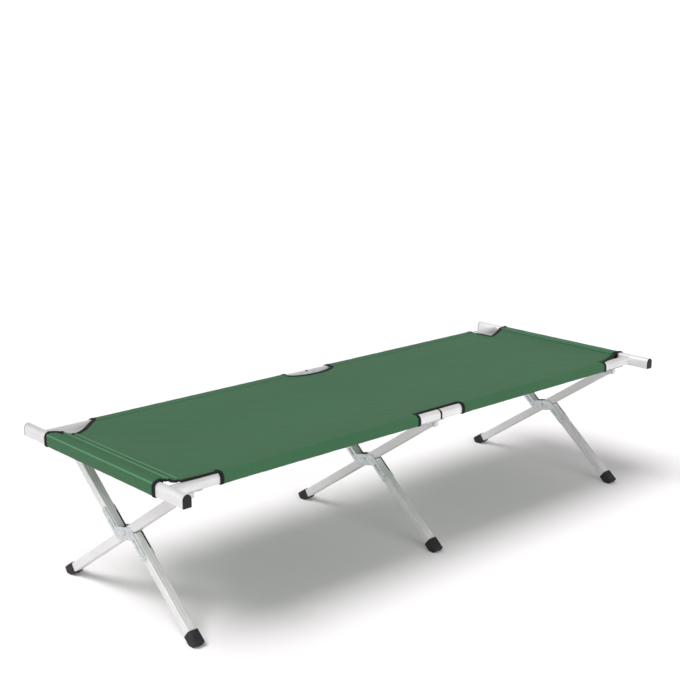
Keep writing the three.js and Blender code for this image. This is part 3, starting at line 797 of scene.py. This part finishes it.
def stitches(name, path, up, body, pitch=0.0042, squash=False):
    """A row of thread: each stitch is a small arched bead, long and narrow, along the path."""
    d = np.concatenate([[0], np.cumsum(np.linalg.norm(np.diff(path, axis=0), axis=1))])
    mid = np.arange(pitch, d[-1] - pitch / 2, pitch)
    centre = np.stack([np.interp(mid, d, path[:, k]) for k in range(3)], -1)
    fwd = np.stack([np.interp(mid + 1e-3, d, path[:, k]) for k in range(3)], -1) - centre
    fwd /= np.linalg.norm(fwd, axis=1)[:, None] + 1e-12
    lift = np.stack([np.interp(mid, d, up[:, k]) for k in range(3)], -1)
    across = np.cross(fwd, lift)
    u = np.array([-1, -0.6, 0, 0.6, 1.0])
    t = np.linspace(0, 2 * math.pi, 7)[:-1]
    fat = np.sqrt(np.clip(1 - u**2, 0.05, 1)) * 0.00045
    local = np.stack([np.repeat(u * pitch * 0.40, 6), np.outer(fat, np.cos(t)).ravel(),
                      np.outer(fat, np.sin(t)).ravel()], -1)
    pts = (centre[:, None] + local[None, :, 0:1] * fwd[:, None] + local[None, :, 1:2] * across[:, None]
           + local[None, :, 2:3] * lift[:, None])
    i, j = np.meshgrid(np.arange(4), np.arange(6), indexing="ij")
    quad = np.stack([i * 6 + j, (i + 1) * 6 + j, (i + 1) * 6 + (j + 1) % 6, i * 6 + (j + 1) % 6], -1)
    quad = quad.reshape(-1, 4)
    ends = np.array([[0, 1, 2, 3], [0, 3, 4, 5], [27, 26, 25, 24], [29, 28, 27, 24]])
    quad = np.concatenate([quad, ends[:, ::-1]])
    faces = (quad[None] + (np.arange(len(mid)) * 30)[:, None, None]).reshape(-1, 4)
    uv = np.tile([[0, 0], [0.001, 0], [0.001, 0.0004], [0, 0.0004]], (len(faces), 1))
    o = put(name, pts.reshape(-1, 3), faces, uv, THREAD, body, "polyester")
    if squash:
        squash_across(o)
    return o


def seams():
    """Thread rows: two along each end hem and one along each side seam. Beside each hem row runs a
    raised welt, and a third welt lies along the outer shoulder of the end bar. The welts are a paler
    green than the deck: painted highlight on these ridges."""
    for hand, end in (("left", -1), ("right", 1)):
        for k, x in enumerate(HEM_ROWS):
            stop = [float(edge(np.array([x]), end)[0]) - 0.008 for edge in (near_edge, far_edge)]
            y = np.linspace(-stop[0], stop[1], 60)
            p = np.stack([0 * y + end * x, y, deck_height(end * x + 0 * y, y) + 0.0002], -1)
            lift = np.tile([0, 0, 1.0], (60, 1))
            # painted highlight: a paler green welt strip beside each hem row
            tape(f"{hand}_hem_welt_highlight_{k}", p - [0.0030 * end, 0, 0.0006], lift, f"near_rail_{hand}",
                 half=0.0024, thick=0.0018, squash=True, material=WELT_HIGHLIGHT, slot="polyester")
            stitches(f"{hand}_hem_thread_{k}", p, lift, f"near_rail_{hand}", squash=True)
        y, turn = np.linspace(-0.247, 0.247, 80), math.radians(38)
        r = BAR_W / 2 + 0.0016
        out = np.array([end * math.cos(turn), 0, math.sin(turn)])
        p = np.stack([0 * y + end * BAR_X, y, 0 * y + BED_TOP - BAR_W / 2], -1) + r * out
        # painted highlight: a paler green strip along the rolled outer shoulder of the bar
        tape(f"{hand}_shoulder_welt_highlight", p, np.tile(out, (80, 1)), f"near_rail_{hand}",
             half=0.0024, thick=0.0015, squash=True, material=WELT_HIGHLIGHT, slot="polyester")
        x = np.linspace(NOTCH_MID + 0.006, NOTCH_END - 0.006, 60)
        for word, side in (("near", -1), ("far", 1)):
            y = 0 * x + side * (SEAM_Y + 0.0035)
            p = np.stack([end * x, y, 0 * x + RAIL_TOP + 0.0019], -1)
            up = np.tile([0, 0, 1.0], (60, 1))
            stitches(f"{word}_seam_thread_{hand}", p, up, f"{word}_rail_{hand}")


rails()
end_bars()
x_frames()
side_sleeves()
deck()
end_sleeves()
seams()


# ---- floor, light and camera ----
def floor_material():
    """A pale matt floor with a faint cloudy change of tone."""
    mat, tree, s = nodes_of("pale_floor")
    soft = noise(tree, coordinates(tree, "Object", (1, 1, 1)), 1.5, 2.0)
    tree.links.new(tint(tree, soft, (0.93, 0.90, 0.91), (0.95, 0.92, 0.93)), s.inputs["Base Color"])
    s.inputs["Roughness"].default_value = 0.9
    s.inputs["Specular IOR Level"].default_value = 0.1
    return mat


def stage():
    """The floor, a world that is bright near the horizon and dimmer overhead, and two wide suns."""
    bpy.ops.mesh.primitive_plane_add(size=60, location=(0, 0, -0.0002))
    floor = bpy.context.object
    floor.name = "floor"
    floor.data.materials.append(floor_material())
    world = bpy.data.worlds.new("studio")
    bpy.context.scene.world = world
    world.use_nodes = True
    tree = world.node_tree
    rise = chain(tree, "SeparateXYZ", {0: chain(tree, "TexCoord").outputs["Generated"]}).outputs[2]
    tree.links.new(spread(tree, rise, 0.28, 0.42, 1.12, 0.28), tree.nodes["Background"].inputs[1])
    tree.nodes["Background"].inputs[0].default_value = (1, 1, 1, 1)

    def sun(name, where, strength, width):
        """A sun that shines from that direction towards the origin."""
        lamp = bpy.data.lights.new(name, "SUN")
        lamp.energy, lamp.angle = strength, width
        o = bpy.data.objects.new(name, lamp)
        bpy.context.scene.collection.objects.link(o)
        tilt = math.atan2(math.hypot(where[0], where[1]), where[2])
        o.rotation_euler = (0, tilt, math.atan2(where[1], where[0]))

    sun("key", (-0.52, 0.14, 1.0), 2.5, 0.60)
    sun("front", (-0.20, -1.0, 0.24), 1.3, 0.7)


def camera():
    """The viewing point, heading and lens that line up the bars, feet and crossings."""
    data = bpy.data.cameras.new("view")
    o = bpy.data.objects.new("view", data)
    bpy.context.scene.collection.objects.link(o)
    data.sensor_width, data.lens = 36.0, 65.09
    yaw, pitch, roll = math.radians(47.33), math.radians(-13.69), math.radians(0.22)
    look = np.array([math.cos(pitch) * math.cos(yaw), math.cos(pitch) * math.sin(yaw), math.sin(pitch)])
    right = np.cross(look, [0, 0, 1.0])
    right /= np.linalg.norm(right)
    up = np.cross(right, look)
    r = right * math.cos(roll) + up * math.sin(roll)
    u = up * math.cos(roll) - right * math.sin(roll)
    turn = Matrix(np.stack([r, u, -look], 1).tolist()).to_4x4()
    turn.translation = (-2.4868, -2.5703, 1.4558)
    o.matrix_world = turn
    data.clip_start, data.clip_end = 0.05, 100
    bpy.context.scene.camera = o


stage()
camera()
bpy.context.scene.view_settings.view_transform = "Standard"
